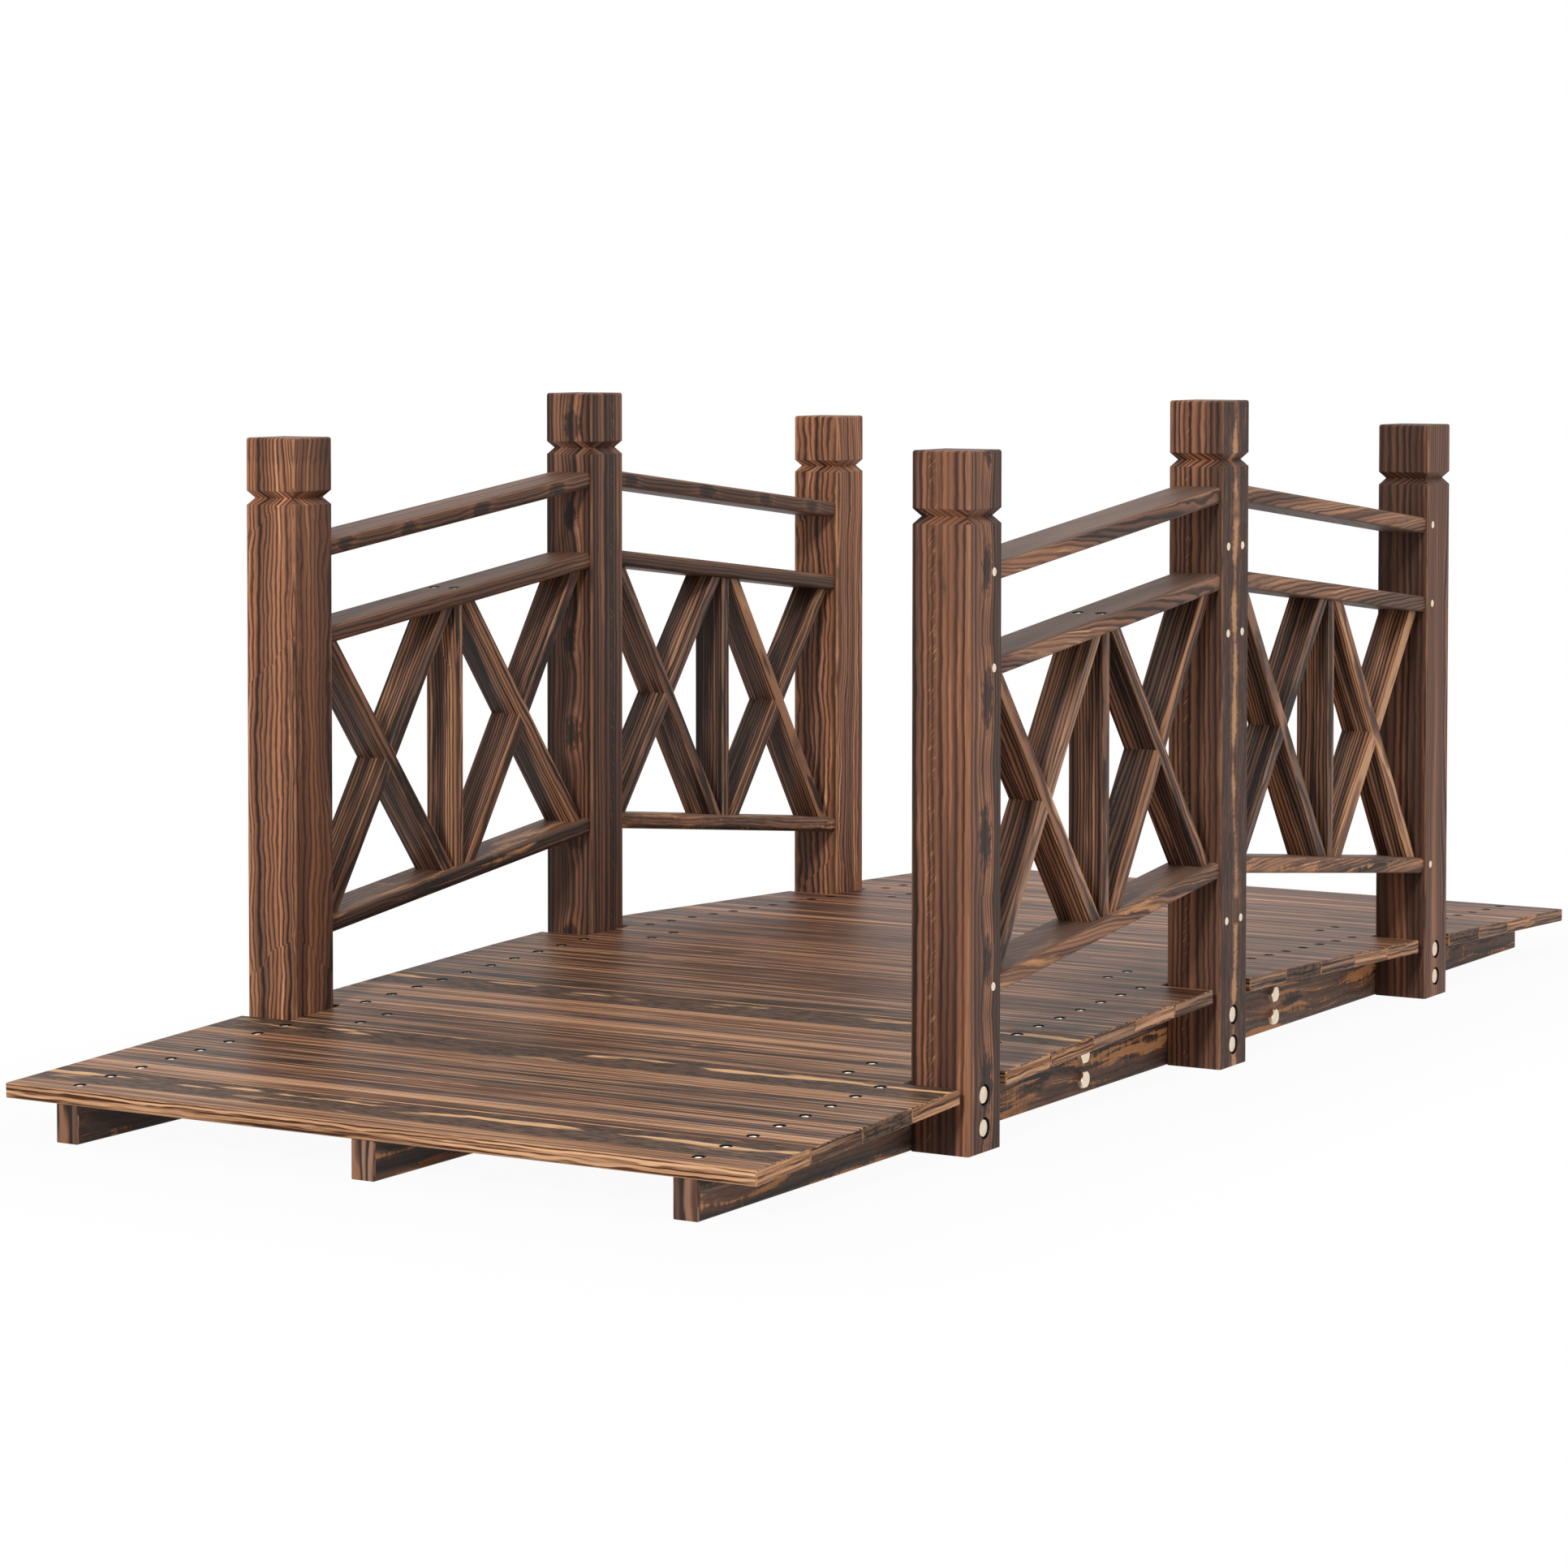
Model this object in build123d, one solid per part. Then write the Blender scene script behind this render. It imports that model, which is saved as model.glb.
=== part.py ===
from build123d import *
import os
from math import atan, cos, degrees, hypot, pi, radians, sin

# Garden bridge with a low moon-shaped crown. X runs along the walk, Y across it, Z is up.
# The origin is on the ground under the middle of the deck. Sizes are in millimetres.

# Deck
plank_count = 21
plank_pitch = 72.0
plank_gap = 0.4
plank_thickness = 11.5
plank_edge = 0.8
deck_width = 657.0
short_planks = (5, 11, 17)
short_plank_gap = 0.5

# Screw recesses: each plank has two rows of them, and the second rail has a pair in each bay
screw_recess_diameter = 9.0
screw_recess_depth = 1.6
screw_recess_sides = 12
screw_row_spacing = 36.0
screw_end_margin = 57.0

# Stringers: a flat foot, two straight slopes, and a crown that seats the middle three planks
stringer_thickness = 21.0
stringer_outer_face = 281.4
stringer_end_height = 29.3
stringer_end_setback = 2.0
stringer_joint_gap = 1.0
stringer_edge = 1.0
slope_grade = 0.0383
crown_height = 55.8

# Boards under the deck
splice_length = 440.0
splice_thickness = 20.0
splice_bottom = 4.0
splice_top = 35.5
brace_width = 50.0
brace_thickness = 20.0

# Posts
post_length = 50.5
post_width = 48.5
post_edge_radius = 2.0
post_edge_steps = 3
sharp_corner = 0.4
end_post_x = 433.0
end_post_height = 517.0
middle_post_height = 546.0
groove_drop = 48.4
groove_height = 11.5
groove_depth = 5.3
bolt_recess_diameter = 16.0
bolt_recess_depth = 6.5
bolt_recess_sides = 20
bolt_heights = (17.7, 42.3)
pin_recess_diameter = 7.4
pin_recess_depth = 0.9
pin_recess_sides = 12
pin_offset = 13.5

# Rails: heights of their centre lines where they meet an end post
rail_heights = {"top": 427.2, "second": 356.4, "bottom": 120.8}
rail_rise = 42.0
rail_width = 44.0
rail_thickness = 14.0
rail_edge_radius = 4.0
rail_edge_steps = 4
tenon_length = 20.0
tenon_width = 28.0
tenon_thickness = 8.0
tenon_clearance = 0.15
rail_screw_spacing = 20.0

# Lattice: each bay has a cross, an upright picket, and a cross
bar_thickness = 12.5
bar_depth = 30.0
bar_edge = 0.7
picket_thickness = 11.5
corner_inset = 10.5

half_length = plank_count * plank_pitch / 2
short_plank_x = half_length - (short_planks[0] - 0.5) * plank_pitch
post_centre_y = stringer_outer_face + post_width / 2
bay_outer = end_post_x - post_length / 2
bay_inner = post_length / 2
rail_grade = rail_rise / (bay_outer - bay_inner)
rail_tilt = degrees(atan(rail_grade))
sides = {"left": 1, "right": -1}
bays = {"near": -1, "far": 1}


def seat_height(x):
    """Height of the stringers' top at a distance along the walk."""
    reach = abs(x)
    crown_flat = plank_pitch / 2
    crown_end = 3 * plank_pitch / 2
    slope_top = stringer_end_height + slope_grade * (half_length - crown_end)
    if reach >= crown_end:
        return stringer_end_height + slope_grade * (half_length - reach)
    if reach <= crown_flat:
        return crown_height
    share = (reach - crown_flat) / (crown_end - crown_flat)
    return crown_height + share * (slope_top - crown_height)


def rail_height(level, x):
    """Height of a rail's centre line at a distance along the walk."""
    return rail_heights[level] + rail_grade * (bay_outer - abs(x))


def rounded_outline(half_x, half_y, radius, steps):
    """Corner points of a rectangle whose corners are rounded in a few flats."""
    points = []
    for quarter, (way_x, way_y) in enumerate(((1, 1), (-1, 1), (-1, -1), (1, -1))):
        for step in range(steps + 1):
            turn = (quarter + step / steps) * pi / 2
            across, along = way_x * (half_x - radius), way_y * (half_y - radius)
            points.append((across + radius * cos(turn), along + radius * sin(turn)))
    return points


def board(length_x, width_y, height_z):
    """A board with its top face centred on the origin."""
    return Box(length_x, width_y, height_z, align=(Align.CENTER, Align.CENTER, Align.MAX))


def on_deck(shape, x, lift=0.0):
    """Lays a shape on the stringers at x, tilted as the seat there is."""
    start = x - plank_pitch / 2
    end = x + plank_pitch / 2
    rise = seat_height(end) - seat_height(start)
    middle = (seat_height(start) + seat_height(end)) / 2
    tilt = degrees(atan(rise / plank_pitch))
    return Pos(x, 0, middle) * Rot(0, -tilt, 0) * Pos(0, 0, lift) * shape


def recess(diameter, depth, flats):
    """A round pocket, made with a few flats, that opens upwards from the origin."""
    return Pos(0, 0, -depth) * extrude(RegularPolygon(diameter / 2, flats), depth)


def plank(number):
    """One deck board with eased edges and four screw recesses."""
    short = number in short_planks
    across = 2 * (stringer_outer_face - short_plank_gap) if short else deck_width
    tread = board(plank_pitch - plank_gap, across, plank_thickness)
    tread = chamfer(tread.edges(), plank_edge)
    pocket = recess(screw_recess_diameter, screw_recess_depth, screw_recess_sides)
    for side in sides.values():
        for row in (-0.5, 0.5):
            tread -= Pos(row * screw_row_spacing, side * (across / 2 - screw_end_margin), 0) * pocket
    x = (number - 0.5) * plank_pitch - half_length
    return on_deck(tread, x, plank_thickness)


def stringer(centre_y):
    """Two half stringers that butt at mid span, with eased feet and ends."""
    outer = half_length - stringer_end_setback
    inner = stringer_joint_gap / 2
    knees = (plank_pitch / 2, 3 * plank_pitch / 2, outer)
    halves = []
    for way in bays.values():
        outline = [(way * inner, 0.0), (way * inner, seat_height(inner))]
        outline += [(way * x, seat_height(x)) for x in knees]
        outline += [(way * outer, 0.0)]
        face = make_face(Polyline(*outline, close=True))
        half = Plane.XZ * extrude(face, stringer_thickness / 2, both=True)
        end = half.faces().sort_by(Axis.X)[-1 if way > 0 else 0]
        half = chamfer(end.edges().filter_by(Axis.Z), stringer_edge)
        foot = half.faces().sort_by(Axis.Z)[0]
        half = chamfer(foot.edges().filter_by(Axis.X), stringer_edge)
        halves.append(Pos(0, centre_y, 0) * half)
    return halves


def splice(centre_y):
    """The board bolted across the joint of two half stringers."""
    return Pos(0, centre_y, splice_top) * board(splice_length, splice_thickness, splice_top - splice_bottom)


def brace(x):
    """Two boards under a short plank, between the middle stringer and the outer ones."""
    inner = stringer_thickness / 2
    outer = stringer_outer_face - stringer_thickness
    batten = board(brace_width, outer - inner, brace_thickness)
    return [on_deck(Pos(0, side * (inner + outer) / 2, 0) * batten, x) for side in sides.values()]


def rail(level, side, bay):
    """One sloping rail with rounded edges, cut upright at the posts, and a stub tenon at each end."""
    outer, inner = bay * bay_outer, bay * bay_inner
    low, high = rail_heights[level], rail_heights[level] + rail_rise
    middle = Pos((outer + inner) / 2, side * post_centre_y, (low + high) / 2)
    outline = rounded_outline(rail_width / 2, rail_thickness / 2, rail_edge_radius, rail_edge_steps)
    section = Plane.YZ * make_face(Polyline(*outline, close=True))
    bar = middle * Rot(0, bay * rail_tilt, 0) * extrude(section, bay_outer / 2, both=True)
    bar = bar & (middle * Box(bay_outer - bay_inner, 2 * rail_width, 4 * rail_rise))
    root = 1.0
    for x, z, way in ((outer, low, bay), (inner, high, -bay)):
        stub = Box(tenon_length + root, tenon_width, tenon_thickness)
        bar += Pos(x + way * (tenon_length - root) / 2, side * post_centre_y, z) * stub
    if level == "second":
        pocket = recess(screw_recess_diameter, screw_recess_depth, screw_recess_sides)
        for row in (-0.5, 0.5):
            place = Pos(0, row * rail_screw_spacing, rail_thickness / 2)
            bar -= middle * Rot(0, bay * rail_tilt, 0) * place * pocket
    return bar


def post_shaft(height):
    """A square shaft with rounded edges and a V groove round it below the top, lofted level by level."""
    levels = [(0.0, 0.0)]
    for rise, depth in ((-0.5, 0.0), (0.0, groove_depth), (0.5, 0.0)):
        levels.append((height - groove_drop + rise * groove_height, depth))
    for step in range(post_edge_steps + 1):
        turn = step / post_edge_steps * pi / 2
        drop = post_edge_radius * (1 - sin(turn))
        levels.append((height - drop, post_edge_radius * (1 - cos(turn))))
    wires = []
    for z, inset in levels:
        corner = max(post_edge_radius - inset, sharp_corner)
        outline = rounded_outline(post_length / 2 - inset, post_width / 2 - inset, corner, post_edge_steps)
        wires.append(Wire.make_polygon([(x, y, z) for x, y in outline], close=True))
    return Solid.make_loft(wires, ruled=True)


def post(side, bay):
    """A post with mortises for its rails, and bolt and pin recesses on its outer face."""
    shaft = post_shaft(middle_post_height if bay == 0 else end_post_height)
    bolt_pocket = recess(bolt_recess_diameter, bolt_recess_depth, bolt_recess_sides)
    pin_pocket = recess(pin_recess_diameter, pin_recess_depth, pin_recess_sides)

    def on_outer_face(x, z):
        return Pos(x, side * post_width / 2, z) * Rot(-side * 90, 0, 0)

    for height in bolt_heights:
        shaft -= on_outer_face(0, height) * bolt_pocket
    depth = tenon_length + 1.0
    mortise = Box(depth, tenon_width + 2 * tenon_clearance, tenon_thickness + 2 * tenon_clearance)
    for height in rail_heights.values():
        mortise_height = height + (rail_rise if bay == 0 else 0.0)
        for way in (-1, 1) if bay == 0 else (-bay,):
            shaft -= Pos(way * (post_length - depth) / 2, 0, mortise_height) * mortise
            shaft -= on_outer_face(way * pin_offset, height) * pin_pocket
    return Pos(bay * end_post_x, side * post_centre_y, 0) * shaft


def lattice(side, bay):
    """The crosses and the picket of one bay, cut to the rails above and below."""
    clear = rail_thickness / 2 / cos(radians(rail_tilt))

    def foot(x):
        return rail_height("bottom", x) + clear

    def head(x):
        return rail_height("second", x) - clear

    def bar(x0, z0, x1, z1, thickness):
        length = hypot(x1 - x0, z1 - z0) + 6 * thickness
        lean = degrees(atan((x1 - x0) / (z1 - z0)))
        return Pos((x0 + x1) / 2, 0, (z0 + z1) / 2) * Rot(0, lean, 0) * Box(thickness, bar_depth, length)

    def cell(x0, x1):
        outline = Polyline((x0, foot(x0)), (x1, foot(x1)), (x1, head(x1)), (x0, head(x0)), close=True)
        return Plane.XZ * extrude(make_face(outline), bar_depth, both=True)

    def eased(shape):
        faces = shape.faces().filter_by(Axis.Y)
        return chamfer([edge for face in faces for edge in face.edges()], bar_edge)

    middle = bay * (bay_outer + bay_inner) / 2
    start, end = sorted((bay * bay_outer, bay * bay_inner))
    pieces = []
    for x0, x1 in ((start, middle - picket_thickness / 2), (middle + picket_thickness / 2, end)):
        a, b = x0 + corner_inset, x1 - corner_inset
        cross = bar(a, foot(a), b, head(b), bar_thickness) + bar(a, head(a), b, foot(b), bar_thickness)
        pieces.append(eased(cross) & cell(x0, x1))
    picket = bar(middle, foot(middle), middle, head(middle), picket_thickness)
    pieces.append(eased(picket) & cell(start, end))
    return [Pos(0, side * post_centre_y, 0) * piece for piece in pieces]


def save(name, shapes):
    """Writes one node."""
    solids = [solid for shape in shapes for solid in shape.solids()]
    whole = solids[0] if len(solids) == 1 else Compound(children=solids)
    export_step(whole, f"parts/{name}.step")


os.makedirs("parts", exist_ok=True)

for number in range(1, plank_count + 1):
    save(f"plank_{number:02d}", [plank(number)])

outer_stringer_y = stringer_outer_face - stringer_thickness / 2
splice_offset = (stringer_thickness + splice_thickness) / 2
save("stringer_middle", stringer(0.0))
save("splice_middle", [splice(splice_offset)])
for side_name, side in sides.items():
    save(f"stringer_{side_name}", stringer(side * outer_stringer_y))
    save(f"splice_{side_name}", [splice(side * (outer_stringer_y - splice_offset))])

for place, way in (("near", -1), ("middle", 0), ("far", 1)):
    save(f"brace_{place}", brace(way * short_plank_x))
    for side_name, side in sides.items():
        save(f"post_{side_name}_{place}", [post(side, way)])

for side_name, side in sides.items():
    for level in rail_heights:
        save(f"rail_{level}_{side_name}", [rail(level, side, way) for way in bays.values()])
    for bay_name, way in bays.items():
        save(f"lattice_{side_name}_{bay_name}", lattice(side, way))
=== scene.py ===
import math

import bpy
import numpy as np
from mathutils import Matrix


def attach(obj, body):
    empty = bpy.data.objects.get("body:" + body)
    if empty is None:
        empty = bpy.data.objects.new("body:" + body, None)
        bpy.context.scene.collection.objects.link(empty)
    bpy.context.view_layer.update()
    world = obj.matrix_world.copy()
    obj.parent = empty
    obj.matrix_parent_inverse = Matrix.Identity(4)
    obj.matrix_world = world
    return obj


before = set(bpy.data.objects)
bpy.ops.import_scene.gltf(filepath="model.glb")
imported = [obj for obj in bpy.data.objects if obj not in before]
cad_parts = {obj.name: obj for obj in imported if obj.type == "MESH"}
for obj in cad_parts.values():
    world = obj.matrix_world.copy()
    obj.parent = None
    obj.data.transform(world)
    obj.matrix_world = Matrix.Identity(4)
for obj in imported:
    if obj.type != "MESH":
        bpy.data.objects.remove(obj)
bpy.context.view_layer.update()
print("frame loaded:", len(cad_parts), "nodes")

# Layout of the bridge, as the frame has it, in millimetres
bridge = {
    "plankPitch": 72.0,
    "planks": 21,
    "plankThickness": 11.5,
    "seatAtEnd": 29.3,       # height of the stringers' tops at their ends, on the slope and at the crown
    "seatGrade": 0.0383,
    "seatAtCrown": 55.8,
    "deckHalfWidth": 328.5,
    "shortHalfWidth": 280.9,
    "shortPlanks": (5, 11, 17),
    "screwRows": 18.0,       # from the middle line of a board
    "screwMargin": 57.0,     # from the end of a board
    "screwHole": 5.0,        # radii of the recesses
    "screwHoleFloor": 3.0,   # height of a recess's floor, from the middle of the board
    "railScrewHole": 4.9,
    "railScrewHoleFloor": 4.2,
    "boltHole": 8.1,
    "pinHole": 3.6,
    "postHoleDepth": 9.0,
    "postX": 433.0,
    "postY": 305.65,
    "postHalfX": 25.25,
    "postHalfY": 24.25,
    "capFrom": 494.0,        # height of the groove below the top block
    "boltHeights": (17.7, 42.3),
    "pinOffset": 13.5,
    "railLevels": (427.2, 356.4, 120.8),
    "railRise": 42.0,
    "railHalfWidth": 22.0,
    "railHalfThick": 7.0,
    "railScrews": 10.0,      # from the middle line of a rail
    "halfPicket": 5.75,
    "halfBar": 6.2,          # half the thickness of a cross's boards
    "barHalfDepth": 15.0,
    "crossInset": 10.5,      # from the corner of a lattice cell to the end of a cross's middle line
    "stringerFace": 281.4,
    "stringerHalf": 10.5,
}
halfLength = bridge["planks"] * bridge["plankPitch"] / 2
bayOuter = bridge["postX"] - bridge["postHalfX"]
bayInner = bridge["postHalfX"]
bayMiddle = (bayOuter + bayInner) / 2
railGrade = bridge["railRise"] / (bayOuter - bayInner)
railLean = math.atan(railGrade)
braceX = halfLength - (bridge["shortPlanks"][0] - 0.5) * bridge["plankPitch"]


def srgb(red, green, blue):
    # screen colour from 0 to 255 to the linear colour that a shader takes
    parts = [c / 255 for c in (red, green, blue)]
    return tuple(c / 12.92 if c <= 0.04045 else ((c + 0.055) / 1.055) ** 2.4 for c in parts) + (1.0,)


class Wire:
    # a shader socket that takes part in Python arithmetic

    def __init__(self, shader, socket):
        self.shader, self.socket = shader, socket

    def __add__(self, other):
        return self.shader.math("ADD", self, other)

    def __sub__(self, other):
        return self.shader.math("SUBTRACT", self, other)

    def __mul__(self, other):
        return self.shader.math("MULTIPLY", self, other)

    def __truediv__(self, other):
        return self.shader.math("DIVIDE", self, other)

    def __radd__(self, other):
        return self.shader.math("ADD", other, self)

    def __rsub__(self, other):
        return self.shader.math("SUBTRACT", other, self)

    def __rmul__(self, other):
        return self.shader.math("MULTIPLY", other, self)

    def __abs__(self):
        return self.shader.math("ABSOLUTE", self)


class Shader:
    # the nodes of one material, or of the world

    def __init__(self, owner):
        owner.use_nodes = True
        self.owner, self.tree = owner, owner.node_tree
        self.tree.nodes.clear()

    def node(self, kind, settings=None, sockets=None, out=0):
        made = self.tree.nodes.new(kind)
        for key, value in (settings or {}).items():
            if key == "stops":
                ramp = made.color_ramp.elements
                while len(ramp) < len(value):
                    ramp.new(0.5)
                for stop, (place, colour) in zip(ramp, value):
                    stop.position, stop.color = place, colour
            elif key == "stepped":
                made.color_ramp.interpolation = "CONSTANT"
            else:
                setattr(made, key, value)
        for key, value in (sockets or {}).items():
            if isinstance(value, Wire):
                self.tree.links.new(value.socket, made.inputs[key])
            else:
                made.inputs[key].default_value = value
        return Wire(self, made.outputs[out]) if len(made.outputs) else made

    def other(self, wire, name):
        # another output of the node that a wire comes from
        return Wire(self, wire.socket.node.outputs[name])

    def math(self, operation, *values):
        return self.node("ShaderNodeMath", {"operation": operation}, dict(enumerate(values)))

    def reach(self, x, y):
        # the length of two places that are square to each other
        return self.math("SQRT", x * x + y * y)

    def smooth(self, value, low, high):
        # soft step from 0 at low to 1 at high
        return self.node(
            "ShaderNodeMapRange",
            {"interpolation_type": "SMOOTHSTEP"},
            {"Value": value, "From Min": low, "From Max": high},
        )

    def vector(self, x, y, z):
        return self.node("ShaderNodeCombineXYZ", None, {"X": x, "Y": y, "Z": z})

    def split(self, vector):
        parts = self.node("ShaderNodeSeparateXYZ", None, {"Vector": vector}).socket.node.outputs
        return [Wire(self, part) for part in parts]

    def noise(self, x, y, z, detail=2.0, rough=0.5):
        return self.node("ShaderNodeTexNoise", None, {
            "Vector": self.vector(x, y, z), "Scale": 1.0, "Detail": detail, "Roughness": rough,
        })

    def dice(self, value, out="Color"):
        # one random value, or three, that stay the same for the same number
        return self.node("ShaderNodeTexWhiteNoise", {"noise_dimensions": "1D"}, {"W": value}, out)

    def mix(self, factor, first, second, blend="MIX"):
        return self.node("ShaderNodeMix", {"data_type": "RGBA", "blend_type": blend}, {
            0: factor, 6: first, 7: second,
        }, 2)

    def blend(self, factor, first, second):
        # the same as mix, for numbers
        return first + factor * (second - first)

    def place(self):
        # the piece's own coordinates in millimetres
        coordinates = self.node("ShaderNodeTexCoord", None, None, "Object")
        return [part * 1000.0 for part in self.split(coordinates)]

    def faceAlong(self, axis):
        # 1 on faces that look along the axis, either way, with 0, 1 and 2 for x, y and z
        normal = self.split(self.node("ShaderNodeTexCoord", None, None, "Normal"))
        return self.smooth(abs(normal[axis]), 0.6, 0.8)

    def dent(self, first, second, radius):
        # 1 inside a round recess, from the two distances to its axis
        return self.smooth(self.reach(first, second), radius + 0.35, radius)

    def lightPath(self):
        # 1 for the rays that see the plain white surroundings
        camera = self.node("ShaderNodeLightPath", None, None, "Is Camera Ray")
        mirrored, through = (self.other(camera, kind) for kind in ("Is Glossy Ray", "Is Transmission Ray"))
        return self.math("MAXIMUM", camera, self.math("MAXIMUM", mirrored, through))

    def finish(self, sockets, normal=None):
        if normal is not None:
            sockets = {**sockets, "Normal": normal}
        surface = self.node("ShaderNodeBsdfPrincipled", None, sockets)
        self.node("ShaderNodeOutputMaterial", None, {"Surface": surface})
        return self.owner


# Charred and oiled fir. Lengths are in millimetres, and a tone runs from 0, dark, to 1, pale.
woodLook = {
    "seed": 3.1,
    "level": 0.56,           # tone of the board, and how far boards differ
    "boardSpread": 0.14,
    "ringPitch": 3.0,        # spacing of the growth rings
    "ringRadius": 90.0,      # from the board to the heart of the tree
    "ringAngle": 0.8,        # direction of the heart, in radians from the first width
    "ringSpread": 0.7,       # how far that direction differs between boards
    "ringDepth": 0.55,       # how dark the late wood is
    "ringFade": 220.0,       # length over which a ring comes and goes
    "ringEven": 0.3,         # 1 for rings that are all as dark
    "drift": 5.0,            # slow wander of the grain
    "driftLength": 190.0,
    "driftWidth": 30.0,
    "ripple": 0.9,           # short wander of the grain
    "rippleLength": 34.0,
    "rippleWidth": 7.0,
    "zoneWidth": 14.0,       # broad stripes
    "zoneLength": 1400.0,
    "zoneDepth": 0.40,
    "charLength": 220.0,     # scorched patches
    "charWidth": 11.0,
    "charFrom": 0.55,
    "charDepth": 0.34,
    "streakLength": 110.0,   # pale streaks, strongest where the wood is scorched
    "streakWidth": 2.6,
    "streakFrom": 0.60,
    "streakDepth": 0.45,
    "knotShare": 0.25,       # share of the cells, of this length and width, that have a knot
    "knotLength": 150.0,
    "knotWidth": 42.0,
    "swirl": 3.5,            # how far the grain bends round a knot
    "knotDepth": 0.36,
    "knotFace": None,        # a row of feathery knots instead. A face is 0 along x and 1 along y.
    "knotLane": 0.0,
    "knotPitch": 92.0,
    "knotTall": 20.0,
    "knotBroad": 7.5,
    "flameFace": None,       # charred faces with a pale flame down the middle
    "flameLane": 1.0,
    "scrapeFace": None,      # faces with a lane of slanting tool marks
    "scrapeLane": 7.0,
    "archFace": None,        # faces on which the grain forms tall arches
    "archDepth": 13.0,
    "archPale": 0.02,
    "archSoft": 0.45,        # how far the rings fade there
    "capPale": 0.0,          # how much lighter the top block of a post is
    "faultDepth": 0.0,       # slanting breaks, across which the lines jump
    "flamesFrom": None,      # where scorched wood shows pale flames, as a level of noise
    "flameLength": 120.0,
    "flameWidth": 9.0,
    "comb": 0.0,             # how far short strokes across the grain shred them
    "fibre": 0.16,
    "greyDepth": 0.45,
    "greyWidth": 16.0,
    "grey": (96, 81, 73),
    "colours": ((34, 23, 17), (70, 46, 35), (116, 79, 59), (160, 112, 82), (214, 164, 122)),
    # edge is the pale tint of the long corners: partly wear, partly a painted highlight of the eased
    # corners catching the light
    "edge": (188, 138, 98),
    "edgeDepth": 0.40,
    "blaze": (204, 152, 108),
    "calmColour": (104, 82, 71),
    # hole is a painted shade, near black, inside the screw, bolt and pin recesses
    "hole": (22, 15, 11),
    "roughness": 0.52,
    "gloss": 0.22,
    "bump": 0.25,
}


def flames(s, colour, scorch, run, across, seed, look, lane=0.0):
    # pale shredded flames in scorched wood, likelier where lane is 1
    flame = s.noise(run / look["flameLength"], across / look["flameWidth"], seed * 30.0, 2.0, 0.5)
    shred = s.noise(run / 24.0, across / 2.0, seed * 50.0, 2.0, 0.6)
    level = flame + (shred - 0.5) * 0.20 + lane * 0.09
    if look["comb"]:
        strokes = s.noise(run / 4.5, across / 20.0, seed * 20.0, 2.0, 0.6)
        level = level + (strokes - 0.5) * look["comb"]
    strength = s.smooth(level, look["flamesFrom"], look["flamesFrom"] + 0.08) * scorch
    return s.mix(strength * (shred * 0.5 + 0.6), colour, srgb(*look["blaze"]))


def sparseKnots(s, look, board, run, ragged, dice):
    # knots in some cells of a stretched Voronoi pattern. Like rowOfKnots, it gives the knots, the
    # pale rings round them, which these don't have, and where the grain bends.
    across, through = board["wide"] / look["knotWidth"], board["thick"] / look["knotWidth"]
    cell = s.node("ShaderNodeTexVoronoi", None, {
        "Vector": s.vector(run / look["knotLength"], across, through + dice[2] * 50.0), "Scale": 1.0,
    }, "Distance")
    isKnot = s.math("LESS_THAN", s.split(s.other(cell, "Color"))[0], look["knotShare"])
    knot = s.smooth(cell + (ragged - 0.5) * 0.5, 0.27, 0.14) * isKnot
    return knot, 0.0, s.smooth(cell, 0.60, 0.05) * isKnot


def rowOfKnots(s, look, board, run, ragged, dice):
    # knots in a row along a face, each set off the row by its own dice
    row = run / look["knotPitch"]
    which = s.math("FLOOR", row)
    offLong, offWide, size = s.split(s.dice(which + dice[0] * 7.0))
    rowLong = (row - which - 0.5 + (offLong - 0.5) * 0.3) * look["knotPitch"]
    rowWide = board["lane"] - look["knotLane"] + (offWide - 0.5) * 6.0
    reach = s.reach(rowLong / look["knotTall"], rowWide / look["knotBroad"]) / (size * 0.5 + 0.8)
    onFace = s.faceAlong(look["knotFace"])
    knot = s.smooth(reach + (ragged - 0.5) * 2.8, 1.2, 0.5) * onFace
    halo = s.smooth(reach, 2.1, 1.0) * onFace * (1.0 - knot)
    return knot, halo, s.smooth(reach, 2.6, 0.4) * onFace


def growthRings(s, look, run, depth, dice):
    # late wood: each ring darkens slowly and ends sharply, and is as dark as its own dice say
    spacing = s.noise(depth / (look["ringPitch"] * 5.0), dice[0] * 90.0, 0.0)
    rings = depth / look["ringPitch"] + spacing * 3.0
    ring = s.math("FLOOR", rings)
    part = rings - ring
    ringDice = s.dice(ring * 0.37 + dice[0] * 19.0, "Value")
    comes = s.smooth(s.noise(run / look["ringFade"], ring * 0.61, dice[2] * 33.0), 0.30, 0.55)
    late = s.smooth(part, 0.30, 0.75) * s.smooth(part, 1.0, 0.82)
    return late * s.blend(look["ringEven"], (ringDice * 0.7 + 0.3) * (comes * 0.55 + 0.45), 0.9)


def toolMarks(s, look, board, run, drift, dice):
    # a noise that is short across the slant and long along it, in a lane that wanders
    lane = board["lane"] - look["scrapeLane"]
    slant = s.noise((run + lane * 1.3) / 1.7, (run - lane * 0.8) / 15.0, dice[1] * 9.0, 2.0, 0.5)
    scraped = s.smooth(abs(lane) + (drift - 0.5) * 4.0, 5.0, 2.5) * s.faceAlong(look["scrapeFace"])
    return (s.smooth(slant, 0.56, 0.70) * 0.34 - 0.16) * scraped


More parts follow.
